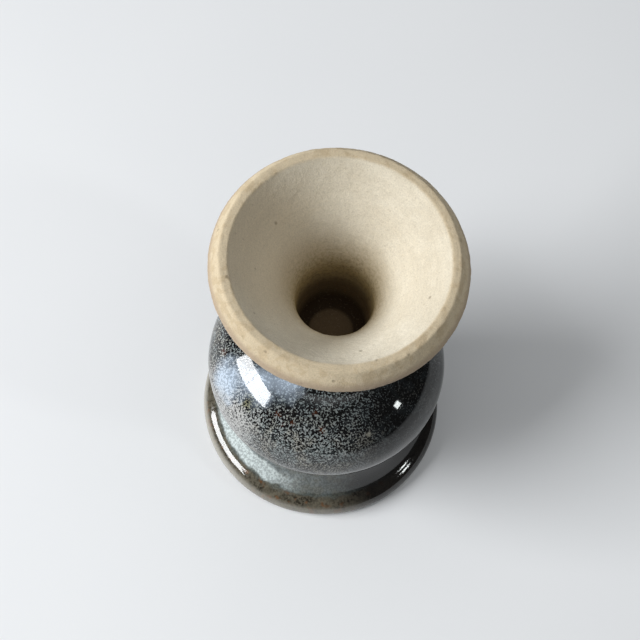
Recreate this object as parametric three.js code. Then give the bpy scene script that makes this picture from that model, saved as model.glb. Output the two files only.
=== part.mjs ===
// Footed stoneware bud vase, thrown in two pieces and resting on its mouth.
//
// Frame: millimetres, +Z up. The origin is the centre of the mouth's rim on the surface that the
// vase rests on, and +Z runs through the neck and the bulb to the foot, which is uppermost.
// Every piece is a body of revolution about Z. A section is a line of (radius, height) points.
//
// The pieces, as they would come apart:
//   clay_foot    the thrown trumpet foot: a solid base, a deep narrow throat and a bare flared edge
//   luting_slip  the disc of slip that joins the foot's base to the bowl's base
//   clay_bowl    the thrown bowl: bulb, creased neck and rolled lip
//   body_glaze   the dark coat over the foot's underside, the stem and the bulb
//   neck_glaze   the pale coat from the crease down the flared neck
//   lip_glaze    the brown coat that wraps the rolled lip
//   liner_glaze  the coat inside the bowl

import * as THREE from 'three';

// ---- driving dimensions (mm) ----

const overallHeight = 126.5;

// foot
const footRadius = 37.5; // widest point of the bare edge
const footEdgeWidth = 5.9; // from the widest point in to the hollow
const footLandWidth = 2.7; // flat on the edge, which the vase stands on in use
const footBevelHeight = 5.9; // from the flat down to the widest point
const footSideHeight = 2.8; // from the widest point down to the underside
const footUndercut = 0.9; // how far the underside starts inside the widest point
const footCornerEase = 0.4; // softened inner corner of the edge
const footBareWidth = 3.5; // unglazed strip on the underside, beside the edge
const throatRadius = 12.1;
const throatLength = 25; // from the hollow's floor up to the crease where the funnel starts
const throatTaper = 1.6; // how much narrower the throat is where it meets its floor
const throatFloorRound = 4.5;
const footBaseThickness = 4.2; // clay under the hollow's floor

// stem and joint
const stemWall = 4.6;
const stemLength = 14; // straight part of the foot, above the joint
const slipThickness = 0.3;
const bowlBaseTrim = 0.3; // trimmed off the top of the bulb, where the foot is joined

// bowl
const bulbRadius = 38.3; // over the glaze
const bulbHalfHeight = 24.05; // over the glaze
const bulbCentreHeight = 43.15;
const bulbWall = 4.6;
const neckRadius = 29.7; // clay radius at the crease under the bulb
const neckPinch = 1; // how far the neck draws in below the crease
const neckWall = 4.6;

// lip
const mouthRadius = 40.3; // over the glaze
const lipRound = 2.6; // outer roll below the widest point, over the glaze
const shoulderInset = 2.9; // from the lip's widest point in to where its roll hands over to the neck
const shoulderHeight = 6.95; // over the glaze, as the inset is
const lipInnerRound = 2.1; // inner roll, over the glaze
const lipLandWidth = 1.4; // flat on the lip, between its two rolls

// glaze
const glazeThickness = 0.5;
const coatGap = 0.1; // clearance between a coat and what it covers
const seamGap = 0.1; // clearance between two coats end to end
const lipCoatWidth = 2; // how far the lip's coat runs up the neck above the shoulder

// angles (degrees) where one curve hands over to the next
const filletAngle = 58; // above the bulb's equator: the bulb turns up into the stem
const shoulderSlope = 57; // how far up from level the lip's shoulder faces
const lipInnerFrom = 220; // start of the lip's inner roll

const roundSegments = 32;

// ---- derived sizes ----

const coat = glazeThickness + coatGap;
const bulbClayRadius = bulbRadius - coat;
const bulbClayHalfHeight = bulbHalfHeight - coat;
const stemRadius = throatRadius + stemWall;
const bowlBaseHeight = bulbCentreHeight + bulbClayHalfHeight - bowlBaseTrim;
const slipBottomHeight = bowlBaseHeight + coatGap;
const slipTopHeight = slipBottomHeight + slipThickness;
const footBaseHeight = slipTopHeight + coatGap;
const hollowFloorHeight = footBaseHeight + footBaseThickness;
const throatHeight = hollowFloorHeight + throatLength;
const widestHeight = overallHeight - footBevelHeight;
const undersideHeight = widestHeight - footSideHeight;
const footHollowRadius = footRadius - footEdgeWidth;
const landOuterRadius = footHollowRadius + footLandWidth;
const lipCentreRadius = mouthRadius - lipRound;
const lipInnerCentreRadius = lipCentreRadius - lipLandWidth;

// ---- section helpers ----

const point = (radius, height) => new THREE.Vector2(radius, height);

function arc(centre, radiusX, radiusY, fromDegrees, toDegrees, steps) {
  const points = [];
  for (let i = 0; i <= steps; i += 1) {
    const angle = THREE.MathUtils.degToRad(fromDegrees + ((toDegrees - fromDegrees) * i) / steps);
    points.push(point(centre.x + radiusX * Math.cos(angle), centre.y + radiusY * Math.sin(angle)));
  }
  return points;
}

function sweep(start, startControl, endControl, end, steps) {
  return new THREE.CubicBezierCurve(start, startControl, endControl, end).getPoints(steps);
}

// Joins lines end to end and drops a point that repeats the one before it.
function join(...lines) {
  const joined = [];
  for (const next of lines.flat()) {
    const last = joined.at(-1);
    if (!last || last.distanceTo(next) > 0.001) {
      joined.push(next);
    }
  }
  return joined;
}

// A curve from one point to another. Each end is led by a share of the width and height between them.
function lead(start, startShare, endShare, end, steps) {
  const width = end.x - start.x;
  const height = end.y - start.y;
  const startControl = point(start.x + width * startShare.x, start.y + height * startShare.y);
  const endControl = point(end.x - width * endShare.x, end.y - height * endShare.y);
  return sweep(start, startControl, endControl, end, steps);
}

// A step of a given length along a slope, in degrees from straight out along the radius.
function step(degrees, length) {
  const angle = THREE.MathUtils.degToRad(degrees);
  return point(length * Math.cos(angle), length * Math.sin(angle));
}

// Moves a line to its right, which is away from the clay on a section that runs with clay on its left.
function offset(line, distance) {
  return line.map((here, i) => {
    const before = line[Math.max(i - 1, 0)];
    const after = line[Math.min(i + 1, line.length - 1)];
    const along = point(after.x - before.x, here.x === 0 ? 0 : after.y - before.y).normalize();
    return point(here.x + along.y * distance, here.y - along.x * distance);
  });
}

// Draws the two ends of a line back along themselves.
function shorten(line, atStart, atEnd) {
  const shorter = line.map((here) => here.clone());
  shorter[0].add(line[1].clone().sub(line[0]).setLength(atStart));
  shorter.at(-1).add(line.at(-2).clone().sub(line.at(-1)).setLength(atEnd));
  return shorter;
}

// The section of a coat that lies on a line of clay, from one of its points to another.
function coatSection(line, from, to) {
  const first = line.indexOf(from);
  const last = line.indexOf(to);
  const startsOnAxis = from.x === 0;
  const side = (distance) => (
    shorten(offset(line, distance).slice(first, last + 1), startsOnAxis ? 0 : seamGap, seamGap)
  );
  const outside = side(coatGap + glazeThickness);
  const section = [...outside, ...side(coatGap).reverse()];
  return startsOnAxis ? section : [...section, outside[0].clone()];
}

function revolve(name, section, material) {
  const geometry = new THREE.LatheGeometry(section, roundSegments);
  geometry.rotateX(Math.PI / 2);
  const mesh = new THREE.Mesh(geometry, material);
  mesh.name = name;
  return mesh;
}

// ---- lines of the clay, each running with the clay on its left ----

const bulbCentre = point(0, bulbCentreHeight);

// Lip: inner roll, flat, and an outer roll that leans in above its widest point to a shoulder.
const lipInnerCentre = point(lipInnerCentreRadius, lipInnerRound);
const lipInnerClayRound = lipInnerRound - coat;
const lipInnerRoll = arc(lipInnerCentre, lipInnerClayRound, lipInnerClayRound, lipInnerFrom, 270, 3);
const lipOuterCentre = point(lipCentreRadius, lipRound);
const lipOuterClayRound = lipRound - coat;
const lipUnderRoll = arc(lipOuterCentre, lipOuterClayRound, lipOuterClayRound, -90, 0, 4);
const lipWidest = lipUnderRoll.at(-1);
const shoulderFacing = step(shoulderSlope, 1);
const lipTop = point(mouthRadius - shoulderInset, shoulderHeight).addScaledVector(shoulderFacing, -coat);
const shoulderDrop = ((lipWidest.x - lipTop.x) * shoulderFacing.x) / shoulderFacing.y;
const lipCorner = point(lipWidest.x, lipTop.y - shoulderDrop);
const lipOverRoll = new THREE.QuadraticBezierCurve(lipWidest, lipCorner, lipTop).getPoints(4);
const lipOuterRoll = join(lipUnderRoll, lipOverRoll);

// Neck: one curve that flares from the crease under the bulb down to the lip's shoulder.
const creaseAngle = -THREE.MathUtils.radToDeg(Math.acos(neckRadius / bulbClayRadius));
const bulbLine = arc(bulbCentre, bulbClayRadius, bulbClayHalfHeight, creaseAngle, filletAngle, 12);
const crease = bulbLine[0];
const flareReach = 5;
const boreFlareReach = 7;
const neckRise = 8.6;
const neckLine = sweep(
  lipTop,
  lipTop.clone().add(step(shoulderSlope + 90, flareReach)),
  point(crease.x - neckPinch, crease.y - neckRise),
  crease,
  9,
);

// Fillet: leaves the bulb along its slope and turns straight up into the stem.
const filletStart = bulbLine.at(-1);
const filletAngleRadians = THREE.MathUtils.degToRad(filletAngle);
const filletSlope = bulbClayHalfHeight / (bulbClayRadius * Math.tan(filletAngleRadians));
const filletCorner = point(stemRadius, filletStart.y + (filletStart.x - stemRadius) * filletSlope);
const filletEnd = point(stemRadius, bowlBaseHeight);
const filletLine = new THREE.QuadraticBezierCurve(filletStart, filletCorner, filletEnd).getPoints(4);

// Foot, outside: straight stem, trumpet, rounded side and bevel up to the flat.
const stemFoot = point(stemRadius, footBaseHeight);
const stemTop = point(stemRadius, footBaseHeight + stemLength);
const undersideEnd = point(footRadius - footUndercut, undersideHeight);
const trumpetLine = lead(stemTop, point(0, 0.38), point(0.46, 0.21), undersideEnd, 9);
const widest = point(footRadius, widestHeight);
const landOuter = point(landOuterRadius, overallHeight);
const sideLine = lead(undersideEnd, point(1, 0.3), point(0, 0.3), widest, 3);
const bevelLine = lead(widest, point(0, 0.14), point(0.28, 0.17), landOuter, 5);

// Foot, inside: eased corner, funnel, tapered throat and rounded floor.
const hollowCorner = point(footHollowRadius, overallHeight - footCornerEase);
const landInner = point(footHollowRadius + footCornerEase, overallHeight);
const throatTop = point(throatRadius, throatHeight);
const funnelLine = lead(hollowCorner, point(0.57, 0.41), point(0.054, 0.2), throatTop, 9);
const floorCentre = point(
  throatRadius - throatTaper - throatFloorRound,
  hollowFloorHeight + throatFloorRound,
);
const floorLine = arc(floorCentre, throatFloorRound, throatFloorRound, 0, -90, 4);

// Bore of the bowl: the bulb's ceiling and wall, then the neck's flare down to the lip.
const boreRadius = bulbClayRadius - bulbWall;
const boreHalfHeight = bulbClayHalfHeight - bulbWall;
const boreCreaseAngle = -THREE.MathUtils.radToDeg(Math.acos((neckRadius - neckWall) / boreRadius));
const bulbBoreLine = [
  point(0, bulbCentreHeight + boreHalfHeight),
  ...arc(bulbCentre, boreRadius, boreHalfHeight, 76, boreCreaseAngle, 10),
];
const boreCrease = bulbBoreLine.at(-1);
const neckBoreLine = sweep(
  boreCrease,
  point(boreCrease.x - neckPinch, boreCrease.y - neckRise),
  lipInnerRoll[0].clone().add(step(lipInnerFrom - 90, boreFlareReach)),
  lipInnerRoll[0],
  8,
);

// ---- whole sections ----

const boreLine = join(bulbBoreLine, neckBoreLine);
const bowlSection = join(
  boreLine,
  lipInnerRoll,
  lipOuterRoll,
  neckLine,
  bulbLine,
  filletLine,
  [point(0, bowlBaseHeight)],
);
const footSection = join(
  [point(0, footBaseHeight), stemFoot],
  trumpetLine,
  sideLine,
  bevelLine,
  [landInner],
  funnelLine,
  floorLine,
  [point(0, hollowFloorHeight)],
);
const slipSection = [
  point(0, slipBottomHeight),
  point(stemRadius, slipBottomHeight),
  point(stemRadius, slipTopHeight),
  point(0, slipTopHeight),
];

// ---- where the coats lie ----

// All the glazed clay in one line: out of the bowl, round the lip and up to the bare edge of the foot.
const glazedLine = join(
  boreLine, lipInnerRoll, lipOuterRoll, neckLine, bulbLine, filletLine, [stemFoot], trumpetLine,
);
const linerEnd = boreLine.at(-1);
const lipCoatEnd = neckLine.find((here) => here.distanceTo(lipTop) >= lipCoatWidth);
const neckCoatEnd = neckLine.at(-1);
const bodyCoatEnd = trumpetLine.findLast((here) => here.distanceTo(undersideEnd) >= footBareWidth);

// ---- materials ----

const material = (color, roughness) => new THREE.MeshStandardMaterial({ color, roughness, metalness: 0 });
const bareClay = material('#cdbb9a', 0.92);
const wetSlip = material('#b9a684', 0.95);
const bowlClay = material('#c6b391', 0.92);
const speckledGlaze = material('#33363a', 0.12);
const neckGlaze = material('#6f8286', 0.16);
const lipGlaze = material('#6b5638', 0.16);
const linerGlaze = material('#7d8a88', 0.2);

// ---- assembly ----

const vase = new THREE.Group();
vase.name = 'bud_vase';
vase.add(revolve('clay_foot', footSection, bareClay));
vase.add(revolve('luting_slip', slipSection, wetSlip));
vase.add(revolve('clay_bowl', bowlSection, bowlClay));
vase.add(revolve('body_glaze', coatSection(glazedLine, neckCoatEnd, bodyCoatEnd), speckledGlaze));
vase.add(revolve('neck_glaze', coatSection(glazedLine, lipCoatEnd, neckCoatEnd), neckGlaze));
vase.add(revolve('lip_glaze', coatSection(glazedLine, linerEnd, lipCoatEnd), lipGlaze));
vase.add(revolve('liner_glaze', coatSection(glazedLine, boreLine[0], linerEnd), linerGlaze));

export default vase;
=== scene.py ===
import math

import bpy
import numpy as np
from mathutils import Matrix, Vector, noise


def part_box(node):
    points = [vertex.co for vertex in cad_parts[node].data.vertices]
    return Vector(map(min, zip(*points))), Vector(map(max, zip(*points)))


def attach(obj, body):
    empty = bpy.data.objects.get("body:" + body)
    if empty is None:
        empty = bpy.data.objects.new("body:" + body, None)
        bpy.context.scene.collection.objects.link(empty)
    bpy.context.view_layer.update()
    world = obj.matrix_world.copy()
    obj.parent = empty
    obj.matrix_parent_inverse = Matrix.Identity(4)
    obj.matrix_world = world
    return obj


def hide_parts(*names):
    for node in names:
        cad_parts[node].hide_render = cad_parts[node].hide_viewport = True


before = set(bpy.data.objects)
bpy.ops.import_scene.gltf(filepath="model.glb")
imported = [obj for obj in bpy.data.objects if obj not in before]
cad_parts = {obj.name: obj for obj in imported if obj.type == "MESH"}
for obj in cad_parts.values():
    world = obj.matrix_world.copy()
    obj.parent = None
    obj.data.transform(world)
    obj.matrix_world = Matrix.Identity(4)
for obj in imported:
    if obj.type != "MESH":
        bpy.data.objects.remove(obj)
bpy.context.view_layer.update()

# A footed stoneware bud vase that stands on its mouth, thrown in two pieces and glazed.
#
# A section is a line of (radius, height) points in millimetres that runs with the clay on its left.
# Meshes, and all that Blender holds, are in metres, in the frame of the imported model.

MM = 0.001

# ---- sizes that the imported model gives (mm) ----


def corners(node):
    """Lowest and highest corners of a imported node, in millimetres."""
    low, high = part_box(node)
    return low / MM, high / MM


foot_low, foot_high = corners("clay_foot")
bowl_high = corners("clay_bowl")[1]
slip_low, slip_high = corners("luting_slip")
body_high = corners("body_glaze")[1]
lip_high = corners("lip_glaze")[1]

overall_height = foot_high.z
foot_radius = foot_high.x
foot_base_height = foot_low.z
bowl_base_height = bowl_high.z
stem_radius = slip_high.x
bulb_radius = body_high.x
mouth_radius = lip_high.x
body_coat_top = body_high.z

# ---- sizes of the sections (mm) ----

# foot
FOOT_EDGE_WIDTH = 5.9
FOOT_LAND_WIDTH = 2.7
FOOT_BEVEL_HEIGHT = 5.9
FOOT_SIDE_HEIGHT = 2.8
FOOT_UNDERCUT = 0.9
FOOT_CORNER_EASE = 0.4
FOOT_EDGE_SOFTNESS = 0.24
THROAT_SOFTNESS = 0.5
THROAT_RADIUS = 12.1
THROAT_LENGTH = 25.0
THROAT_TAPER = 1.6
THROAT_FLOOR_ROUND = 4.5
FOOT_BASE_THICKNESS = 4.2
STEM_LENGTH = 14.0

# bowl
BULB_HALF_HEIGHT = 24.05
BULB_CENTRE_HEIGHT = 43.15
BULB_WALL = 4.6
NECK_RADIUS = 29.7
NECK_PINCH = 1.0
NECK_RISE = 8.6
NECK_WALL = 4.6
FLARE_REACH = 5.0
BORE_FLARE_REACH = 7.0
FILLET_ANGLE = 58

# lip
LIP_ROUND = 2.6
LIP_INNER_ROUND = 2.1
LIP_LAND_WIDTH = 1.4
LIP_SHOULDER_INSET = 2.9  # from the lip's widest point in to where its roll meets the neck
LIP_SHOULDER_HEIGHT = 6.95
LIP_SHOULDER_SLOPE = 62  # degrees that its surface faces up from level
LIP_INNER_FROM = 220

# glaze
GLAZE_THICKNESS = 0.5
COAT_GAP = 0.1
LIP_COAT_WIDTH = 2.0
COAT_END_ROUND = 0.45
GLAZE_BEAD = 0.18  # how much thicker the body's glaze is just short of its end
GLAZE_POOL = 0.15  # how much thicker it is in the neck's crease

# ---- relief of the surfaces (mm) ----

THROWN_WAVER = 0.003  # as a share of the radius
FUNNEL_RING_DEPTH = 0.018
FUNNEL_RING_SPACING = 1.7
THROAT_RING_DEPTH = 0.19
THROAT_RING_SPACING = 1.25
FLOOR_RING_DEPTH = 0.08
FLOOR_RING_SPACING = 1.4
SAND_DEPTH = 0.10
EDGE_WEAR = 0.12
SLIP_SQUEEZE = 0.06
GLAZE_WAVE = 0.05
GLAZE_PEEL = 0.012
GLAZE_TURNING = 0.012
GLAZE_TURNING_SPACING = 4.5

# ---- how fine the meshes are ----

ROUND_STEPS = 384
HIDDEN_ROUND_STEPS = 192
FINE_STEP = 0.05  # mm, while a line is softened
FINE_BORE_BELOW = 12.0  # mm above the rim, where the bore can be seen from below
INSIDE_ROW_STRIDE = 6  # a coat's hidden inside keeps one row in so many

# How far apart the rows are along a section, in millimetres.
FOOT_EDGE_SPACING = 0.36
FOOT_HOLLOW_SPACING = 0.42
FOOT_UNDER_GLAZE_SPACING = 2.6
LINER_SPACING = 1.6
LINER_END_SPACING = 0.5
LIP_SPACING = 0.24
NECK_SPACING = 0.36
BULB_SPACING = 0.5
STEM_SPACING = 0.7
UNDERSIDE_SPACING = 0.62
FLAT_SPACING = 3.0

# ---- derived sizes (mm) ----

coat = GLAZE_THICKNESS + COAT_GAP
bulb_clay_radius = bulb_radius - coat
bulb_clay_half_height = BULB_HALF_HEIGHT - coat
hollow_floor_height = foot_base_height + FOOT_BASE_THICKNESS
throat_height = hollow_floor_height + THROAT_LENGTH
widest_height = overall_height - FOOT_BEVEL_HEIGHT
underside_height = widest_height - FOOT_SIDE_HEIGHT
foot_hollow_radius = foot_radius - FOOT_EDGE_WIDTH
land_outer_radius = foot_hollow_radius + FOOT_LAND_WIDTH
lip_centre_radius = mouth_radius - LIP_ROUND
lip_inner_centre_radius = lip_centre_radius - LIP_LAND_WIDTH

# ---- lines ----


def point(radius, height):
    return np.array([radius, height], float)


def arc(centre, radius_across, radius_up, start, end, steps=120):
    """Part of an ellipse from one angle to another, in degrees from level."""
    turn = np.radians(np.linspace(start, end, steps + 1))
    across = centre[0] + radius_across * np.cos(turn)
    up = centre[1] + radius_up * np.sin(turn)
    return np.stack([across, up], 1)


def sweep(start, start_control, end_control, end, steps=160):
    """A curve that leaves its start towards one control point and comes to its end from the other."""
    share = np.linspace(0, 1, steps + 1)[:, None]
    rest = 1 - share
    return (
        rest**3 * start
        + 3 * rest**2 * share * start_control
        + 3 * rest * share**2 * end_control
        + share**3 * end
    )


def round_corner(start, corner, end):
    """A curve that leaves its start and meets its end in line with a corner between them."""
    return sweep(start, start + (corner - start) * 2 / 3, end + (corner - end) * 2 / 3, end)


def lead(start, start_share, end_share, end):
    """A curve whose ends are led by a share of the width and height between them."""
    size = end - start
    return sweep(start, start + size * point(*start_share), end - size * point(*end_share), end)


def turned_step(degrees, length):
    """A step of some length at an angle from level."""
    return length * point(math.cos(math.radians(degrees)), math.sin(math.radians(degrees)))


def join(*lines):
    """Lines end to end, without the points that repeat the one before."""
    whole = np.concatenate([np.atleast_2d(line) for line in lines])
    moves = np.linalg.norm(np.diff(whole, axis=0), axis=1)
    return whole[np.concatenate([[True], moves > 1e-4])]


def along(line):
    """How far each point is along its line."""
    return np.concatenate([[0], np.cumsum(np.linalg.norm(np.diff(line, axis=0), axis=1))])


def spaced(line, spacing):
    """The same line with its points about one spacing apart."""
    reached = along(line)
    count = max(2, int(round(reached[-1] / spacing)) + 1)
    wanted = np.linspace(0, reached[-1], count)
    return np.stack([np.interp(wanted, reached, line[:, i]) for i in range(2)], 1)


def softened(line, reach):
    """The line with its corners rounded over about that reach, and its two ends kept."""
    fine = spaced(line, FINE_STEP)
    half = int(3 * reach / FINE_STEP)
    weights = np.exp(-0.5 * (np.arange(-half, half + 1) * FINE_STEP / reach) ** 2)
    weights /= weights.sum()
    before = 2 * fine[0] - fine[half:0:-1]
    after = 2 * fine[-1] - fine[-2 : -half - 2 : -1]
    padded = np.concatenate([before, fine, after])
    return np.stack([np.convolve(padded[:, i], weights, "valid") for i in range(2)], 1)


def outward(line):
    """Unit steps to the right of the line at each of its points, which is away from the clay."""
    slope = np.gradient(line, axis=0)
    on_axis = line[:, 0] < 1e-6
    slope[on_axis, 1] = 0
    side = np.stack([slope[:, 1], -slope[:, 0]], 1)
    return side / np.linalg.norm(side, axis=1)[:, None]


# ---- lines of the clay ----


def lip_lines():
    """Inner roll and outer roll of the lip, on the clay."""
    inner_round = LIP_INNER_ROUND - coat
    outer_round = LIP_ROUND - coat
    inner_centre = point(lip_inner_centre_radius, LIP_INNER_ROUND)
    outer_centre = point(lip_centre_radius, LIP_ROUND)
    inner = arc(inner_centre, inner_round, inner_round, LIP_INNER_FROM, 270)
    under = arc(outer_centre, outer_round, outer_round, -90, 0)
    widest = under[-1]
    facing = turned_step(LIP_SHOULDER_SLOPE, 1)
    shoulder = point(mouth_radius - LIP_SHOULDER_INSET, LIP_SHOULDER_HEIGHT) - coat * facing
    drop = (widest[0] - shoulder[0]) * facing[0] / facing[1]
    corner = point(widest[0], shoulder[1] - drop)
    return inner, join(under, round_corner(widest, corner, shoulder))


def bulb_line():
    """The bulb's outside from the crease of the neck up to the fillet."""
    crease_angle = -math.degrees(math.acos(NECK_RADIUS / bulb_clay_radius))
    centre = point(0, BULB_CENTRE_HEIGHT)
    return arc(centre, bulb_clay_radius, bulb_clay_half_height, crease_angle, FILLET_ANGLE)


def neck_line(lip_top, crease):
    """The neck's outside from the lip's shoulder in to the crease."""
    lip_control = lip_top + turned_step(LIP_SHOULDER_SLOPE + 90, FLARE_REACH)
    crease_control = crease - point(NECK_PINCH, NECK_RISE)
    return sweep(lip_top, lip_control, crease_control, crease)


def fillet_line(start):
    """Leaves the bulb along its slope and turns straight up into the stem."""
    turn = math.tan(math.radians(FILLET_ANGLE))
    slope = bulb_clay_half_height / (bulb_clay_radius * turn)
    corner = point(stem_radius, start[1] + (start[0] - stem_radius) * slope)
    return round_corner(start, corner, point(stem_radius, bowl_base_height))


def trumpet_line():
    """The foot's underside from the top of the stem out to the edge."""
    stem_top = point(stem_radius, foot_base_height + STEM_LENGTH)
    underside_end = point(foot_radius - FOOT_UNDERCUT, underside_height)
    return lead(stem_top, (0, 0.38), (0.46, 0.21), underside_end)


def foot_edge_line():
    """From the underside round the widest point, up the bevel and over the flat to the hollow."""
    underside_end = point(foot_radius - FOOT_UNDERCUT, underside_height)
    widest = point(foot_radius, widest_height)
    land_outer = point(land_outer_radius, overall_height)
    land_inner = point(foot_hollow_radius + FOOT_CORNER_EASE, overall_height)
    return join(
        lead(underside_end, (1, 0.3), (0, 0.3), widest),
        lead(widest, (0, 0.14), (0.28, 0.17), land_outer),
        land_inner,
    )


def funnel_line():
    """The flared hollow from the foot's flat down to the top of the throat."""
    hollow_corner = point(foot_hollow_radius, overall_height - FOOT_CORNER_EASE)
    return lead(hollow_corner, (0.57, 0.41), (0.054, 0.2), point(THROAT_RADIUS, throat_height))


def throat_line():
    """Down the tapered throat, round its foot and in to the axis."""
    round_centre = point(
        THROAT_RADIUS - THROAT_TAPER - THROAT_FLOOR_ROUND,
        hollow_floor_height + THROAT_FLOOR_ROUND,
    )
    rounding = arc(round_centre, THROAT_FLOOR_ROUND, THROAT_FLOOR_ROUND, 0, -90)
    return join(point(THROAT_RADIUS, throat_height), rounding, point(0, hollow_floor_height))


def bore_line(lip_inner_start):
    """From the bowl's ceiling down its wall and out along the neck to the lip."""
    radius = bulb_clay_radius - BULB_WALL
    half_height = bulb_clay_half_height - BULB_WALL
    crease_angle = -math.degrees(math.acos((NECK_RADIUS - NECK_WALL) / radius))
    bulb = arc(point(0, BULB_CENTRE_HEIGHT), radius, half_height, 90, crease_angle)
    bulb[0, 0] = 0
    crease = bulb[-1]
    crease_control = crease - point(NECK_PINCH, NECK_RISE)
    lip_control = lip_inner_start + turned_step(LIP_INNER_FROM - 90, BORE_FLARE_REACH)
    return join(bulb, sweep(crease, crease_control, lip_control, lip_inner_start))


# ---- meshes ----


def ring_points(line, steps):
    """Points all round the axis, as (row, step, 3), and the outward steps at each."""
    turn = np.linspace(0, 2 * math.pi, steps, endpoint=False)
    side = outward(line)

    def all_round(flat):
        across = flat[:, 0][:, None]
        up = np.repeat(flat[:, 1][:, None], steps, 1)
        return np.stack([across * np.cos(turn), across * np.sin(turn), up], 2)

    return all_round(line), all_round(side)


def out_of_round(points):
    """The slight waver of a thrown pot, shared by every piece so that they stay nested."""
    turn = np.arctan2(points[..., 1], points[..., 0])
    share = points[..., 2] / overall_height
    waver = 0.6 * np.cos(2 * turn + 0.7) + 0.4 * np.cos(3 * turn - 1.1)
    swell = 1 + THROWN_WAVER * share * waver
    wavered = points.copy()
    wavered[..., 0] *= swell
    wavered[..., 1] *= swell
    return wavered


def revolved_mesh(name, rows, closed, sharp_rows=()):
    """A mesh through rows of points, each a ring or one point on the axis, joined in turn."""
    starts = []
    vertices = []
    row_of_vertex = []
    for number, row in enumerate(rows):
        starts.append(len(vertices))
        on_axis = np.hypot(row[0, 0], row[0, 1]) < 1e-6
        kept = row[:1] if on_axis else row
        vertices.extend(map(tuple, kept * MM))
        row_of_vertex.extend([number] * len(kept))
    counts = [b - a for a, b in zip(starts, starts[1:] + [len(vertices)])]
    faces = []
    pairs = list(zip(range(len(rows)), range(1, len(rows))))
    if closed:
        pairs.append((len(rows) - 1, 0))
    for lower, upper in pairs:
        steps = max(counts[lower], counts[upper])
        for step in range(steps):
            after = (step + 1) % steps
            if counts[lower] == 1:
                face = (starts[lower], starts[upper] + after, starts[upper] + step)
            elif counts[upper] == 1:
                face = (starts[lower] + step, starts[lower] + after, starts[upper])
            else:
                face = (
                    starts[lower] + step,
                    starts[lower] + after,
                    starts[upper] + after,
                    starts[upper] + step,
                )
            faces.append(face)
    mesh = bpy.data.meshes.new(name)
    mesh.from_pydata(vertices, [], faces)
    mesh.polygons.foreach_set("use_smooth", [True] * len(mesh.polygons))
    if len(sharp_rows):
        sharpen_rows(mesh, np.array(row_of_vertex), sharp_rows)
    mesh.update()
    return mesh


def sharpen_rows(mesh, row_of_vertex, sharp_rows):
    """Marks the edges that run along some of the rows as sharp, so that no shading crosses them."""
    ends = np.zeros(len(mesh.edges) * 2, np.int32)
    mesh.edges.foreach_get("vertices", ends)
    rows = row_of_vertex[ends.reshape(-1, 2)]
    sharp = (rows[:, 0] == rows[:, 1]) & np.isin(rows[:, 0], sharp_rows)
    marks = mesh.attributes.new("sharp_edge", "BOOLEAN", "EDGE")
    marks.data.foreach_set("value", sharp)


def piece(name, mesh, material, node):
    """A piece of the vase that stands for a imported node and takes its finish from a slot."""
    made = bpy.data.objects.new(name, mesh)
    bpy.context.scene.collection.objects.link(made)
    mesh.materials.append(material)
    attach(made, "root")
    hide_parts(node)


# ---- relief (mm) ----


def rough(points, size, seed):
    """Smooth noise from about -1 to 1 at each point, with features of about that size in millimetres."""
    scaled = points.reshape(-1, 3) / size + seed
    values = [noise.noise(place) for place in scaled.tolist()]
    return np.array(values).reshape(points.shape[:-1])


def ripples(distance, spacing, seed):
    """Even but not regular ridges, from -1 to 1, along a line."""
    generator = np.random.default_rng(seed)
    knots = np.arange(distance.min() - spacing, distance.max() + 2 * spacing, spacing / 2)
    heights = np.where(np.arange(len(knots)) % 2, 1.0, -1.0) * generator.uniform(0.3, 1.0, len(knots))
    places = knots + generator.uniform(-0.12, 0.12, len(knots)) * spacing
    share = np.interp(distance, places, np.arange(len(places)))
    low = np.clip(share.astype(int), 0, len(heights) - 2)
    part = share - low
    part = part * part * (3 - 2 * part)
    return heights[low] * (1 - part) + heights[low + 1] * part


def faded(values, start, end):
    """0 before start, 1 after end and smooth between. Start may be the greater."""
    share = np.clip((values - start) / (end - start), 0, 1)
    return share * share * (3 - 2 * share)


def foot_relief(line, points):
    """Throwing rings, a sandy surface and a slightly worn edge on the bare clay of the foot."""
    radius = line[:, 0]
    height = line[:, 1]
    distance = along(line)
    at_widest = distance[np.argmax(radius)]
    at_top = distance[np.argmax(height)]
    inside = faded(distance, at_top + 1, at_top + 5)
    in_throat = inside * faded(height, throat_height + 8, throat_height - 4)
    in_funnel = inside - in_throat
    on_floor = inside * faded(radius, 8, 5) * faded(height, throat_height, hollow_floor_height)
    on_wall = in_throat - on_floor
    bare = faded(distance, at_widest - 5, at_widest - 3)
    turn = np.arctan2(points[0, :, 1], points[0, :, 0])
    drift = 0.5 * np.sin(turn + 0.4) + 0.25 * np.sin(2 * turn + 2.0)
    moved = distance[:, None] + drift[None, :]
    rings = (
        FUNNEL_RING_DEPTH * in_funnel[:, None] * ripples(moved, FUNNEL_RING_SPACING, 3)
        + THROAT_RING_DEPTH * on_wall[:, None] * ripples(moved, THROAT_RING_SPACING, 5)
        + FLOOR_RING_DEPTH * on_floor[:, None] * ripples(moved, FLOOR_RING_SPACING, 8)
    )
    sand = SAND_DEPTH * bare[:, None] * (rough(points, 0.9, 11.3) + 0.6 * rough(points, 2.2, 4.1))
    edge = bare * (1 - faded(distance, at_top + 2, at_top + 7))
    wear = EDGE_WEAR * edge[:, None] * rough(points, 6.0, 7.9)
    return rings + sand + wear


def glaze_relief(line, points):
    """Slow waves and a slight orange peel in the glaze, and a faint turning mark here and there."""
    waves = GLAZE_WAVE * rough(points, 9.0, 21.7)
    peel = GLAZE_PEEL * rough(points, 3.0, 15.2)
    turned = GLAZE_TURNING * ripples(along(line), GLAZE_TURNING_SPACING, 12)[:, None]
    return waves + peel + turned


# ---- pieces of clay ----


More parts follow.
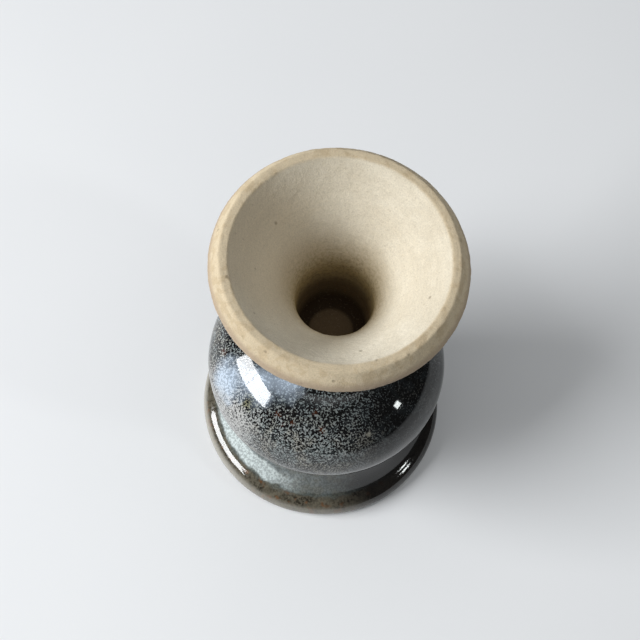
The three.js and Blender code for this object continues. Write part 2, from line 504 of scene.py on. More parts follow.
def foot_section():
    """The foot's whole section, softened at its edge and at the top of its throat."""
    funnel = funnel_line()
    edge = softened(join(foot_edge_line(), funnel[:60]), FOOT_EDGE_SOFTNESS)
    cut = len(edge) - int(3 / FINE_STEP)
    rest = funnel[funnel[:, 1] < edge[cut, 1] - 0.2]
    hollow = softened(join(rest, throat_line()), THROAT_SOFTNESS)
    hollow[-1] = point(0, hollow_floor_height)
    hidden = join(
        point(0, foot_base_height),
        spaced(np.array([point(0.4, foot_base_height), point(stem_radius, foot_base_height)]), 4),
        spaced(trumpet_line(), FOOT_UNDER_GLAZE_SPACING),
    )
    edge = spaced(edge[:cut], FOOT_EDGE_SPACING)
    return join(hidden[:-1], edge, spaced(hollow, FOOT_HOLLOW_SPACING))


def make_foot(material):
    """The thrown foot: solid base, stem, trumpet, bare edge, funnel and throat."""
    line = foot_section()
    points, side = ring_points(line, ROUND_STEPS)
    points = points + side * foot_relief(line, points)[..., None]
    mesh = revolved_mesh("foot_clay", out_of_round(points), closed=False)
    piece("foot_clay", mesh, material, "clay_foot")


def make_slip_joint(material):
    """The slip between the two thrown pieces, squeezed a little unevenly at its edge."""
    centre = (slip_low.z + slip_high.z) / 2
    half = (slip_high.z - slip_low.z) / 2
    edge = arc(point(stem_radius - half, centre), half, half, -90, 90, 8)
    line = join(
        point(0, slip_low.z),
        spaced(np.array([point(1, slip_low.z), edge[0]]), 2),
        edge,
        spaced(np.array([edge[-1], point(1, slip_high.z)]), 2),
        point(0, slip_high.z),
    )
    points, side = ring_points(line, HIDDEN_ROUND_STEPS)
    near_edge = faded(line[:, 0], stem_radius - 1, stem_radius)
    squeezed = SLIP_SQUEEZE * near_edge[:, None] * rough(points, 5.0, 3.3)
    mesh = revolved_mesh("slip_joint", out_of_round(points + side * squeezed[..., None]), closed=False)
    piece("slip_joint", mesh, material, "luting_slip")


def clay_lines():
    """The glazed clay in order: bore, inner roll, outer roll, neck, bulb and fillet."""
    inner, outer = lip_lines()
    bulb = bulb_line()
    neck = neck_line(outer[-1], bulb[0])
    return bore_line(inner[0]), inner, outer, neck, bulb, fillet_line(bulb[-1])


def make_bowl(material):
    """The thrown bowl under its glazes: bulb, creased neck and rolled lip."""
    bore, inner, outer, neck, bulb, fillet = clay_lines()
    line = join(
        spaced(bore, 1.5),
        spaced(join(inner, outer), 0.4),
        spaced(neck, 0.9),
        spaced(bulb, 1.1),
        spaced(fillet, 1.1),
        spaced(np.array([fillet[-1], point(1, bowl_base_height)]), FLAT_SPACING),
        point(0, bowl_base_height),
    )
    points = ring_points(line, HIDDEN_ROUND_STEPS)[0]
    mesh = revolved_mesh("bowl_clay", out_of_round(points), closed=False)
    piece("bowl_clay", mesh, material, "clay_bowl")


# ---- coats of glaze ----


def glazed_line():
    """All the glazed clay in one line, and the places on it where one coat hands over to the next."""
    bore, inner, outer, neck, bulb, fillet = clay_lines()
    lip_end = np.argmax(np.linalg.norm(neck - outer[-1], axis=1) >= LIP_COAT_WIDTH)
    trumpet = trumpet_line()
    trumpet = trumpet[trumpet[:, 1] < body_coat_top - COAT_GAP]
    parts = [
        spaced(bore[bore[:, 1] >= FINE_BORE_BELOW], LINER_SPACING),
        spaced(bore[bore[:, 1] <= FINE_BORE_BELOW + 0.5], LINER_END_SPACING),
        spaced(join(inner, outer, neck[: lip_end + 1]), LIP_SPACING),
        spaced(neck[lip_end:], NECK_SPACING),
        spaced(bulb, BULB_SPACING),
        spaced(join(fillet, point(stem_radius, foot_base_height)), STEM_SPACING),
        spaced(join(point(stem_radius, foot_base_height), trumpet), UNDERSIDE_SPACING),
    ]
    places = {"liner_end": 2, "lip_end": 3, "neck_end": 4}
    whole = join(*parts)

    def row_of(target):
        return int(np.argmin(np.linalg.norm(whole - target, axis=1)))

    stops = {name: row_of(parts[number][0]) for name, number in places.items()}
    stops["body_end"] = len(whole) - 1
    return whole, stops


def coat_rows(line, thickness, relief=None):
    """Rings of the outside of the glaze at a thickness over the clay."""
    points, side = ring_points(line, ROUND_STEPS)
    lift = np.full(points.shape[:2], COAT_GAP) + thickness[:, None]
    if relief is not None:
        lift = lift + relief(line, points)
    return out_of_round(points + side * lift[..., None])


def make_coat(name, first, last, rows, material, node):
    """A coat of glaze between two rows, with its outside, its inside and its two ends."""
    outside, inside = rows
    under = list(range(last, first, -INSIDE_ROW_STRIDE))
    if under[-1] != first:
        under.append(first)
    section = [*outside[first : last + 1], *inside[under]]
    count = last - first + 1
    on_axis = first == 0
    sharp = [count - 1, count] if on_axis else [0, count - 1, count, len(section) - 1]
    mesh = revolved_mesh(name, section, closed=not on_axis, sharp_rows=sharp)
    piece(name, mesh, material, node)


def make_coats(materials):
    """Liner, lip, neck and body coats, cut from one skin so that they meet without a step."""
    line, stops = glazed_line()
    reached = along(line)
    from_end = reached[-1] - reached
    bead = GLAZE_BEAD * np.exp(-(((from_end - 1.1) / 0.7) ** 2))
    rounding = np.sqrt(np.clip(1 - (1 - np.clip(from_end / COAT_END_ROUND, 0, 1)) ** 2, 0.04, 1))
    pooled = GLAZE_POOL * np.exp(-(((reached - reached[stops["neck_end"]]) / 1.6) ** 2))
    thickness = (GLAZE_THICKNESS + bead) * rounding + pooled
    outside = coat_rows(line, thickness, glaze_relief)
    inside = coat_rows(line, np.zeros(len(line)))
    rows = (outside, inside)
    liner_end, lip_end, neck_end, body_end = stops.values()
    liner, lip, neck, body = materials
    make_coat("liner_coat", 0, liner_end, rows, liner, "liner_glaze")
    make_coat("lip_coat", liner_end, lip_end, rows, lip, "lip_glaze")
    make_coat("neck_coat", lip_end, neck_end, rows, neck, "neck_glaze")
    make_coat("body_coat", neck_end, body_end, rows, body, "body_glaze")


# ---- node helpers ----


def fill(tree, node, values):
    """Sets a node's inputs to numbers or colours, or links them from other sockets."""
    for socket, value in values.items():
        if isinstance(value, bpy.types.NodeSocket):
            tree.links.new(value, node.inputs[socket])
        else:
            node.inputs[socket].default_value = value


def add(tree, kind, values, **settings):
    """A node with its settings and its inputs."""
    node = tree.nodes.new(kind)
    for setting, value in settings.items():
        setattr(node, setting, value)
    fill(tree, node, values)
    return node


def maths(tree, operation, first, second, clamp=False):
    values = {0: first, 1: second}
    return add(tree, "ShaderNodeMath", values, operation=operation, use_clamp=clamp).outputs[0]


def product(tree, first, second):
    return maths(tree, "MULTIPLY", first, second)


def times_plus(tree, value, factor, offset):
    """The value times a factor, plus an offset."""
    values = {0: value, 1: factor, 2: offset}
    return add(tree, "ShaderNodeMath", values, operation="MULTIPLY_ADD").outputs[0]


def vector_maths(tree, operation, first, second, result=0):
    return add(tree, "ShaderNodeVectorMath", {0: first, 1: second}, operation=operation).outputs[result]


def scaled_vector(tree, vector, factor):
    return add(tree, "ShaderNodeVectorMath", {0: vector, 3: factor}, operation="SCALE").outputs[0]


def shift_range(tree, value, low, high, to_low=0.0, to_high=1.0):
    """The value eased from one range into another, and held at its ends."""
    values = {"Value": value, "From Min": low, "From Max": high, "To Min": to_low, "To Max": to_high}
    return add(tree, "ShaderNodeMapRange", values, interpolation_type="SMOOTHSTEP").outputs[0]


def either_side(tree, value, level, softness):
    """The value eased to 0 below a level and 1 above it."""
    low = maths(tree, "SUBTRACT", level, softness)
    high = maths(tree, "ADD", level, softness)
    return shift_range(tree, value, low, high)


def blended(tree, factor, first, second):
    """A number between two numbers."""
    return add(tree, "ShaderNodeMix", {0: factor, 2: first, 3: second}, data_type="FLOAT").outputs[0]


def mixed(tree, factor, first, second, blend="MIX"):
    """A colour between two colours."""
    values = {0: factor, 6: first, 7: second}
    return add(tree, "ShaderNodeMix", values, data_type="RGBA", blend_type=blend).outputs[2]


def colour(red, green, blue):
    return (red, green, blue, 1.0)


def tinted(tree, base, mask, tint, share=1.0):
    """The base with a tint over it where the mask is, at a share of its strength."""
    if share != 1.0:
        mask = product(tree, mask, share)
    return mixed(tree, mask, base, colour(*tint))


def new_group(name, inputs, outputs):
    """A shader node group with named sockets, and the sockets inside it."""
    tree = bpy.data.node_groups.new(name, "ShaderNodeTree")
    for socket, value in inputs.items():
        kind = "NodeSocketVector" if isinstance(value, tuple) else "NodeSocketFloat"
        made = tree.interface.new_socket(name=socket, in_out="INPUT", socket_type=kind)
        made.default_value = value
    for socket in outputs:
        tree.interface.new_socket(name=socket, in_out="OUTPUT", socket_type="NodeSocketFloat")
    given = tree.nodes.new("NodeGroupInput").outputs
    wanted = tree.nodes.new("NodeGroupOutput")
    return tree, given, wanted


def use(tree, group, **values):
    """Places a group with its own values and returns its outputs."""
    node = tree.nodes.new("ShaderNodeGroup")
    node.node_tree = group
    fill(tree, node, values)
    return node.outputs


NOWHERE = (0.0, 0.0, 0.0)

# ---- shared effects ----


def in_millimetres(tree, place):
    return scaled_vector(tree, place, 1 / MM)


def on_the_wheel(tree, place):
    """Radius and height of a place that is given in millimetres."""
    parts = add(tree, "ShaderNodeSeparateXYZ", {0: place}).outputs
    flat = add(tree, "ShaderNodeCombineXYZ", {0: parts[0], 1: parts[1]}).outputs[0]
    radius = add(tree, "ShaderNodeVectorMath", {0: flat}, operation="LENGTH").outputs[1]
    return radius, parts[2]


def noise_of_size(tree, place, size, **values):
    """The outputs of a noise whose features have a size in millimetres."""
    scale = maths(tree, "DIVIDE", 1 / MM, size)
    return add(tree, "ShaderNodeTexNoise", {"Vector": place, "Scale": scale, **values}).outputs


def wheel_group():
    """Radius and height on the wheel, in millimetres."""
    tree, given, wanted = new_group("Wheel", {"Place": NOWHERE}, ["Radius", "Height"])
    radius, height = on_the_wheel(tree, in_millimetres(tree, given["Place"]))
    fill(tree, wanted, {"Radius": radius, "Height": height})
    return tree


def clouds_group():
    """Noise with features of a size in millimetres, eased to 0 and 1 on each side of a level."""
    inputs = {"Place": NOWHERE, "Size": 1.0, "Level": 0.5, "Softness": 0.1, "Detail": 2.0, "Warp": 0.0}
    tree, given, wanted = new_group("Clouds", inputs, ["Mask", "Tone"])
    values = {"Detail": given["Detail"], "Distortion": given["Warp"]}
    tone = noise_of_size(tree, given["Place"], given["Size"], **values)[0]
    mask = either_side(tree, tone, given["Level"], given["Softness"])
    fill(tree, wanted, {"Mask": mask, "Tone": tone})
    return tree


def patch_group():
    """A ragged patch round a centre. Centre, reach, edge and raggedness are in millimetres."""
    inputs = {"Place": NOWHERE, "Centre": NOWHERE, "Reach": 5.0, "Edge": 2.0, "Ragged": 3.0, "Grain": 3.0}
    tree, given, wanted = new_group("Patch", inputs, ["Mask"])
    cloud = noise_of_size(tree, given["Place"], given["Grain"], Detail=3.0)[1]
    shaken = vector_maths(tree, "SUBTRACT", cloud, (0.5, 0.5, 0.5))
    shaken = scaled_vector(tree, shaken, given["Ragged"])
    place = vector_maths(tree, "ADD", in_millimetres(tree, given["Place"]), shaken)
    distance = vector_maths(tree, "DISTANCE", place, given["Centre"], 1)
    inner = maths(tree, "SUBTRACT", given["Reach"], given["Edge"])
    outer = maths(tree, "ADD", given["Reach"], given["Edge"])
    fill(tree, wanted, {"Mask": shift_range(tree, distance, outer, inner)})
    return tree


def throwing_lines_group():
    """Fine lines round the pot, a spacing in millimetres apart, that wander a little."""
    inputs = {"Place": NOWHERE, "Spacing": 1.0, "Wander": 0.02}
    tree, given, wanted = new_group("Throwing lines", inputs, ["Tone"])
    scaled = in_millimetres(tree, given["Place"])
    radius, height = on_the_wheel(tree, scaled)
    across = add(tree, "ShaderNodeCombineXYZ", {0: radius, 1: height}).outputs[0]
    wandering = scaled_vector(tree, scaled, given["Wander"])
    place = vector_maths(tree, "ADD", across, wandering)
    scale = maths(tree, "DIVIDE", 1.0, given["Spacing"])
    tone = add(tree, "ShaderNodeTexNoise", {"Vector": place, "Scale": scale, "Detail": 1.5}).outputs[0]
    fill(tree, wanted, {"Tone": maths(tree, "SUBTRACT", tone, 0.5)})
    return tree


def sandy_grain_group():
    """Grains, dark flecks and open pits of bare clay. Sizes in millimetres, Pitted from 0 to 1."""
    inputs = {"Place": NOWHERE, "Grain": 0.4, "Fleck": 0.5, "Pit": 1.6, "Pitted": 0.1}
    tree, given, wanted = new_group("Sandy grain", inputs, ["Tone", "Flecks", "Pits", "Height"])
    place = given["Place"]
    fine = noise_of_size(tree, place, given["Grain"])[0]
    flecks = noise_of_size(tree, place, given["Fleck"], Detail=1.0)[0]
    flecks = shift_range(tree, flecks, 0.62, 0.74)
    pit_scale = maths(tree, "DIVIDE", 1 / MM, given["Pit"])
    cells = add(tree, "ShaderNodeTexVoronoi", {"Vector": place, "Scale": pit_scale}).outputs
    dip = shift_range(tree, cells["Distance"], 0.34, 0.1)
    chance = add(tree, "ShaderNodeSeparateColor", {0: cells["Color"]}).outputs[0]
    pits = product(tree, dip, maths(tree, "LESS_THAN", chance, given["Pitted"]))
    height = maths(tree, "SUBTRACT", fine, pits)
    fill(tree, wanted, {"Tone": fine, "Flecks": flecks, "Pits": pits, "Height": height})
    return tree


def crystals_group():
    """Pale crystals that float in a dark glaze, as short worms and dots. Cover goes from 0 to 1."""
    inputs = {"Place": NOWHERE, "Size": 0.8, "Cover": 0.5, "Softness": 0.05, "Run": 1.0}
    tree, given, wanted = new_group("Crystals", inputs, ["Mask"])
    parts = add(tree, "ShaderNodeSeparateXYZ", {0: given["Place"]}).outputs
    height = maths(tree, "DIVIDE", parts[2], given["Run"])
    drawn = add(tree, "ShaderNodeCombineXYZ", {0: parts[0], 1: parts[1], 2: height}).outputs[0]
    values = {"Detail": 1.0, "Roughness": 0.5, "Distortion": 0.6}
    tone = noise_of_size(tree, drawn, given["Size"], **values)[0]
    level = times_plus(tree, given["Cover"], -0.4, 0.7)
    fill(tree, wanted, {"Mask": either_side(tree, tone, level, given["Softness"])})
    return tree


wheel = wheel_group()
clouds = clouds_group()
patch = patch_group()
throwing_lines = throwing_lines_group()
sandy_grain = sandy_grain_group()
crystals = crystals_group()


def patch_mask(tree, place, centre, reach, edge, ragged, grain):
    values = {"Centre": centre, "Reach": reach, "Edge": edge, "Ragged": ragged, "Grain": grain}
    return use(tree, patch, Place=place, **values)["Mask"]


def pot_spot(turn_degrees, radius, height):
    """A place at a turn about the axis, in millimetres."""
    turn = math.radians(turn_degrees)
    return (radius * math.cos(turn), radius * math.sin(turn), height)


def bulb_spot(turn_degrees, height):
    """A place on the outside of the bulb at a turn about the axis, in millimetres."""
    share = (height - BULB_CENTRE_HEIGHT) / BULB_HALF_HEIGHT
    return pot_spot(turn_degrees, bulb_radius * math.sqrt(max(0.0, 1 - share * share)), height)


# ---- materials ----

MATTE_CLAY = {"IOR": 1.45, "Diffuse Roughness": 0.6, "Specular IOR Level": 0.25}
DARK_GLAZE = {"IOR": 1.5}
CLEAR_GLAZE = {"IOR": 1.55}
FLAT_PAINT = {"Specular IOR Level": 0.1}


def new_material(name, values):
    """A material with one principled shader whose sockets hold these constants."""
    material = bpy.data.materials.new(name)
    material.use_nodes = True
    tree = material.node_tree
    tree.nodes.clear()
    shader = add(tree, "ShaderNodeBsdfPrincipled", values)
    add(tree, "ShaderNodeOutputMaterial", {0: shader.outputs[0]})
    place = tree.nodes.new("ShaderNodeTexCoord").outputs["Object"]
    return material, tree, shader, place


def rough_between(tree, tone, smoothest, roughest):
    """A roughness that follows the tone of a noise."""
    return shift_range(tree, tone, 0.3, 0.7, smoothest, roughest)


def finish_surface(tree, shader, base, roughness):
    fill(tree, shader, {"Base Color": base, "Roughness": roughness})


def bump(tree, shader, height, distance_mm):
    """Joins a height to the shader's normal."""
    made = add(tree, "ShaderNodeBump", {"Height": height, "Distance": distance_mm * MM})
    fill(tree, shader, {"Normal": made.outputs[0]})


def toasted_edge_and_painted_shade(tree, place, around, base):
    """The clay is toasted brown on the foot's edge, and the band below it is painted darker as painted
    shade.
    """
    on_edge = shift_range(tree, around["Radius"], 31.3, 32.3)
    edge = product(tree, on_edge, shift_range(tree, around["Height"], 112.0, 118.0))
    base = tinted(tree, base, edge, (0.60, 0.505, 0.355))
    toasted = use(tree, clouds, Place=place, Size=3.2, Level=0.54, Softness=0.09, Detail=3.0, Warp=0.4)
    toasted = product(tree, edge, product(tree, toasted["Mask"], 0.4))
    base = tinted(tree, base, toasted, (0.44, 0.33, 0.19))
    # Painted shade: the outer side under the bevel, which faces down into shade, is painted darker.
    side_painted_shade = shift_range(tree, around["Radius"], 36.2, 37.4)
    return tinted(tree, base, side_painted_shade, (0.42, 0.33, 0.235))


def brown_throat_and_painted_shade(tree, place, around, base):
    """The clay browns down the throat, and is painted darker further down as painted shade of the deep
    hole, with a near-black painted shadow round the floor.
    """
    height = around["Height"]
    # Browner clay down the throat, darkened in part as painted shade.
    deep = shift_range(tree, height, throat_height + 14, throat_height - 6)
    base = tinted(tree, base, deep, (0.42, 0.31, 0.145))
    speck = use(tree, clouds, Place=place, Size=0.9, Level=0.55, Softness=0.12, Detail=2.0)
    specks = product(tree, deep, product(tree, speck["Mask"], 0.5))
    base = tinted(tree, base, specks, (0.19, 0.135, 0.055))
    # Painted shade: darker again down the deep throat and over its floor.
    deeper = shift_range(tree, height, throat_height - 3, hollow_floor_height + 10)
    base = tinted(tree, base, deeper, (0.14, 0.09, 0.04))
    low_down = shift_range(tree, height, hollow_floor_height + 9, hollow_floor_height + 2)
    off_middle = shift_range(tree, around["Radius"], 6.0, 7.4)
    on_floor = maths(tree, "SUBTRACT", low_down, off_middle, clamp=True)
    base = tinted(tree, base, on_floor, (0.13, 0.085, 0.042))
    # Painted shadow: a near-black ring in the corner round the floor.
    floor_painted_shadow = product(tree, low_down, off_middle)
    return tinted(tree, base, floor_painted_shadow, (0.036, 0.02, 0.008))


def bare_clay_material():
    """Sandy buff stoneware, warmer on its edge, with faint lines, flecks and a few open pits, and painted
    shade on one funnel wall, below the edge and down the throat.
    """
    material, tree, shader, place = new_material("bare stoneware", MATTE_CLAY)
    around = use(tree, wheel, Place=place)
    grain = use(tree, sandy_grain, Place=place, Grain=0.42, Fleck=0.62, Pit=2.2, Pitted=0.03)
    lines = use(tree, throwing_lines, Place=place, Spacing=0.7, Wander=0.03)
    drift = use(tree, clouds, Place=place, Size=16.0, Level=0.5, Softness=0.2, Detail=3.0)
    mottle = use(tree, clouds, Place=place, Size=2.4, Level=0.5, Softness=0.25, Detail=3.0)
    base = mixed(tree, drift["Mask"], colour(0.655, 0.592, 0.472), colour(0.73, 0.672, 0.552))
    base = tinted(tree, base, mottle["Mask"], (0.60, 0.53, 0.405), share=0.3)
    # Painted shade: the funnel's wall nearest the window faces away from it and is painted darker and
    # warmer.
    wall_painted_shade = patch_mask(tree, place, (-27.0, 4.0, 114.0), reach=22.0, edge=10.0, ragged=5.0, grain=8.0)
    base = tinted(tree, base, wall_painted_shade, (0.60, 0.515, 0.385), share=0.8)
    base = toasted_edge_and_painted_shade(tree, place, around, base)
    base = brown_throat_and_painted_shade(tree, place, around, base)
    base = mixed(tree, 1.0, base, times_plus(tree, grain["Tone"], 0.44, 0.78), "MULTIPLY")
    base = mixed(tree, 1.0, base, times_plus(tree, lines["Tone"], 0.12, 1.0), "MULTIPLY")
    base = tinted(tree, base, grain["Flecks"], (0.30, 0.24, 0.16), share=0.2)
    base = tinted(tree, base, grain["Pits"], (0.22, 0.17, 0.11), share=0.55)
    finish_surface(tree, shader, base, rough_between(tree, grain["Tone"], 0.8, 0.96))
    height = maths(tree, "ADD", grain["Height"], product(tree, lines["Tone"], 0.5))
    bump(tree, shader, height, 0.13)
    return material


def joint_slip_material():
    """Fired slip: fine and matte, a little darker than the clay."""
    material, tree, shader, place = new_material("fired slip", MATTE_CLAY)
    grain = use(tree, sandy_grain, Place=place, Grain=0.25, Fleck=0.9, Pit=3.0, Pitted=0.03)
    lines = use(tree, throwing_lines, Place=place, Spacing=1.2, Wander=0.05)
    drift = use(tree, clouds, Place=place, Size=5.0, Level=0.5, Softness=0.2, Detail=2.0)
    base = mixed(tree, drift["Mask"], colour(0.42, 0.34, 0.22), colour(0.52, 0.43, 0.29))
    base = tinted(tree, base, grain["Flecks"], (0.2, 0.15, 0.1), share=0.3)
    finish_surface(tree, shader, base, rough_between(tree, grain["Tone"], 0.85, 0.97))
    bump(tree, shader, maths(tree, "ADD", grain["Height"], lines["Tone"]), 0.05)
    return material


def bowl_clay_material():
    """The stoneware of the bowl, which its glazes cover."""
    material, tree, shader, place = new_material("bowl stoneware", MATTE_CLAY)
    grain = use(tree, sandy_grain, Place=place, Grain=0.45, Fleck=0.6, Pit=2.4, Pitted=0.06)
    lines = use(tree, throwing_lines, Place=place, Spacing=1.6, Wander=0.03)
    drift = use(tree, clouds, Place=place, Size=14.0, Level=0.5, Softness=0.2, Detail=3.0)
    base = mixed(tree, drift["Mask"], colour(0.54, 0.46, 0.33), colour(0.62, 0.54, 0.40))
    base = tinted(tree, base, grain["Flecks"], (0.28, 0.22, 0.15), share=0.4)
    finish_surface(tree, shader, base, rough_between(tree, grain["Tone"], 0.82, 0.96))
    bump(tree, shader, maths(tree, "ADD", grain["Height"], lines["Tone"]), 0.08)
    return material


# Marks in the dark glaze, each as (turn in degrees, height, reach).
DARK_PATCHES = ((-38, 57, 7.5), (-15, 59, 8.0))
RUST_FLECKS = (
    (-117, 59, 0.9),
    (-106.5, 58.8, 0.8),
    (-112, 57.6, 0.5),
    (-88, 58.9, 1.0),
    (-94, 61.5, 0.8),
    (-170, 55, 1.0),
    (-164, 50, 0.8),
)
BLUE_POOLS = ((-154, 54.5, 5.8), (-140, 60.5, 5.0), (-125, 63.6, 4.0))


def crystal_speckle(tree, place, height, high_up, rose):
    """Where the crystals lie: fewer in the dark patches, more on the rosy side, finer low down."""
    drift = use(tree, clouds, Place=place, Size=13.0, Level=0.5, Softness=0.16, Detail=2.0)
    cover = shift_range(tree, drift["Tone"], 0.3, 0.7, 0.33, 0.46)
    cover = maths(tree, "SUBTRACT", cover, product(tree, high_up, 0.06))
    dark = [
        patch_mask(tree, place, bulb_spot(turn, rise), reach=reach, edge=5.0, ragged=6.0, grain=4.0)
        for turn, rise, reach in DARK_PATCHES
    ]
    cover = maths(tree, "SUBTRACT", cover, product(tree, maths(tree, "MAXIMUM", *dark), 0.24))
    cover = maths(tree, "ADD", cover, product(tree, rose, 0.18))
    coarse = use(tree, crystals, Place=place, Size=0.58, Cover=cover, Softness=0.022, Run=1.1)
    fine = use(tree, crystals, Place=place, Size=0.44, Cover=cover, Softness=0.026, Run=1.1)
    low_down = shift_range(tree, height, 56.0, 42.0)
    return blended(tree, low_down, coarse["Mask"], fine["Mask"])


def crystal_colour(tree, place, high_up, rose):
    """Pale grey, warmer in places, bright here and there and dull under the foot."""
    warm = use(tree, clouds, Place=place, Size=7.0, Level=0.52, Softness=0.08, Detail=3.0, Warp=0.5)
    pale = mixed(tree, warm["Mask"], colour(0.23, 0.26, 0.257), colour(0.27, 0.265, 0.23))
    bright = use(tree, clouds, Place=place, Size=0.9, Level=0.56, Softness=0.08, Detail=1.0)
    pale = tinted(tree, pale, bright["Mask"], (0.43, 0.44, 0.43), share=0.6)
    pale = tinted(tree, pale, rose, (0.45, 0.45, 0.435))
    pale = tinted(tree, pale, high_up, (0.15, 0.18, 0.185), share=0.6)
    olive = patch_mask(tree, place, bulb_spot(-136, 57), reach=2.6, edge=1.4, ragged=3.0, grain=2.0)
    return tinted(tree, pale, olive, (0.22, 0.215, 0.13))


def deep_colour(tree, place):
    """The near-black between the crystals, with its flecks of rust."""
    tint = use(tree, clouds, Place=place, Size=4.0, Level=0.56, Softness=0.06, Detail=2.0)
    deep = mixed(tree, tint["Mask"], colour(0.006, 0.006, 0.006), colour(0.012, 0.014, 0.015))
    for turn, height, reach in RUST_FLECKS:
        centre = bulb_spot(turn, height)
        rust = patch_mask(tree, place, centre, reach=reach, edge=0.5, ragged=2.6, grain=0.9)
        deep = tinted(tree, deep, rust, (0.048, 0.015, 0.006))
    return deep


def blue_pools(tree, place, speckle, base):
    """Milky blue pools, broken up by the speckle round their edges."""
    for turn, height, reach in BLUE_POOLS:
        centre = bulb_spot(turn, height)
        pool = patch_mask(tree, place, centre, reach=reach, edge=4.0, ragged=9.0, grain=4.0)
        milky = product(tree, pool, times_plus(tree, speckle, 0.35, 0.58))
        base = tinted(tree, base, milky, (0.49, 0.58, 0.69))
    return base


def speckled_glaze_material():
    """Near-black glaze with a dense pale speckle, milky blue where it pooled below the foot, and painted
    shade that dims the speckle on the side away from the window.
    """
    material, tree, shader, place = new_material("speckled glaze", DARK_GLAZE)
    height = use(tree, wheel, Place=place)["Height"]
    high_up = shift_range(tree, height, 56.0, 62.0)
    rose = patch_mask(tree, place, bulb_spot(-145, 46), reach=14.0, edge=7.0, ragged=7.0, grain=6.0)
    speckle = crystal_speckle(tree, place, height, high_up, rose)
    pale = crystal_colour(tree, place, high_up, rose)
    ring = patch_mask(tree, place, bulb_spot(-60.5, 56.5), reach=0.9, edge=0.5, ragged=1.6, grain=0.9)
    pale = tinted(tree, pale, ring, (0.62, 0.60, 0.50))
    covered = maths(tree, "MAXIMUM", speckle, product(tree, ring, 0.6))
    # Painted shade: the crystals are dimmed on the side away from the window.
    crystals_painted_shade = patch_mask(tree, place, bulb_spot(-28, 44), reach=27.0, edge=10.0, ragged=8.0, grain=7.0)
    covered = product(tree, covered, times_plus(tree, crystals_painted_shade, -0.78, 0.95))
    base = mixed(tree, covered, deep_colour(tree, place), pale)
    base = blue_pools(tree, place, speckle, base)
    brown_edge = shift_range(tree, height, body_coat_top - 3.0, body_coat_top - 0.5)
    base = tinted(tree, base, brown_edge, (0.09, 0.05, 0.02))
    finish_surface(tree, shader, base, shift_range(tree, speckle, 0.0, 1.0, 0.05, 0.07))
    bump(tree, shader, speckle, 0.0008)
    return material


def neck_glaze_material():
    """Mottled blue-grey glaze on the flare, paler in a band, with painted shade that makes it almost
    black on the side away from the window.
    """
    material, tree, shader, place = new_material("neck glaze", CLEAR_GLAZE)
    cloud = use(tree, clouds, Place=place, Size=2.0, Level=0.5, Softness=0.3, Detail=3.0)
    roughness = rough_between(tree, cloud["Tone"], 0.05, 0.12)
    finish_surface(tree, shader, brown_to_neck(tree, place), roughness)
    bump(tree, shader, cloud["Tone"], 0.01)
    return material


def lip_glaze_material():
    """Glossy olive and iron brown on the lip, with rusty spots, a beige edge where it runs thin that
    painted light makes paler on the window's side, and painted shade on the far side.
    """
    material, tree, shader, place = new_material("lip glaze", CLEAR_GLAZE)
    streaks = use(tree, crystals, Place=place, Size=0.8, Cover=0.5, Softness=0.12, Run=2.5)
    roughness = shift_range(tree, streaks["Mask"], 0.0, 1.0, 0.05, 0.1)
    finish_surface(tree, shader, brown_to_neck(tree, place), roughness)
    bump(tree, shader, streaks["Mask"], 0.004)
    return material


def wandering(tree, place, value, size, reach):
    """The value moved up and down by a slow noise."""
    wander = use(tree, clouds, Place=place, Size=size, Level=0.5, Softness=0.3, Detail=3.0)
    shaken = product(tree, maths(tree, "SUBTRACT", wander["Tone"], 0.5), reach)
    return maths(tree, "ADD", value, shaken)


def brown_to_neck(tree, place):
    """The lip's brown, which runs unevenly into the neck's blue-grey above the shoulder, with painted
    shade on the side away from the window.
    """
    around = use(tree, wheel, Place=place)
    ran = shift_range(tree, wandering(tree, place, around["Height"], 3.0, 3.5), 7.3, 8.5)
    base = mixed(tree, ran, lip_colour(tree, place, around), neck_colour(tree, place, around))
    return painted_shade_far_side(tree, place, base)


def lip_colour(tree, place, around):
    """Olive and brown, rusty in spots and beige where the glaze thins over the widest point, with painted
    light that makes the beige stronger on the window's side.
    """
    streaks = use(tree, crystals, Place=place, Size=0.8, Cover=0.5, Softness=0.12, Run=2.5)
    drift = use(tree, clouds, Place=place, Size=6.0, Level=0.5, Softness=0.12, Detail=3.0, Warp=0.8)
    rusty = use(tree, clouds, Place=place, Size=3.4, Level=0.62, Softness=0.05, Detail=2.0)
    base = mixed(tree, drift["Mask"], colour(0.028, 0.024, 0.017), colour(0.095, 0.085, 0.062))
    base = tinted(tree, base, streaks["Mask"], (0.17, 0.15, 0.11), share=0.5)
    base = tinted(tree, base, rusty["Mask"], (0.15, 0.06, 0.02), share=0.6)
    thin = shift_range(tree, around["Radius"], 38.4, 40.3)
    # Painted light: the beige is stronger on the window's side.
    side = patch_mask(tree, place, pot_spot(-165, 40, 3), reach=26.0, edge=9.0, ragged=4.0, grain=4.0)
    beige = product(tree, thin, times_plus(tree, side, 0.45, 0.42))
    return tinted(tree, base, beige, (0.40, 0.38, 0.33))


# Bands on the neck, each as (inner radius, outer radius, strength, tint).
NECK_BANDS = (
    (29.0, 31.3, 0.7, (0.22, 0.21, 0.18)),
    (31.3, 32.3, 0.7, (0.12, 0.145, 0.15)),
    (32.3, 35.5, 0.9, (0.48, 0.535, 0.528)),
)


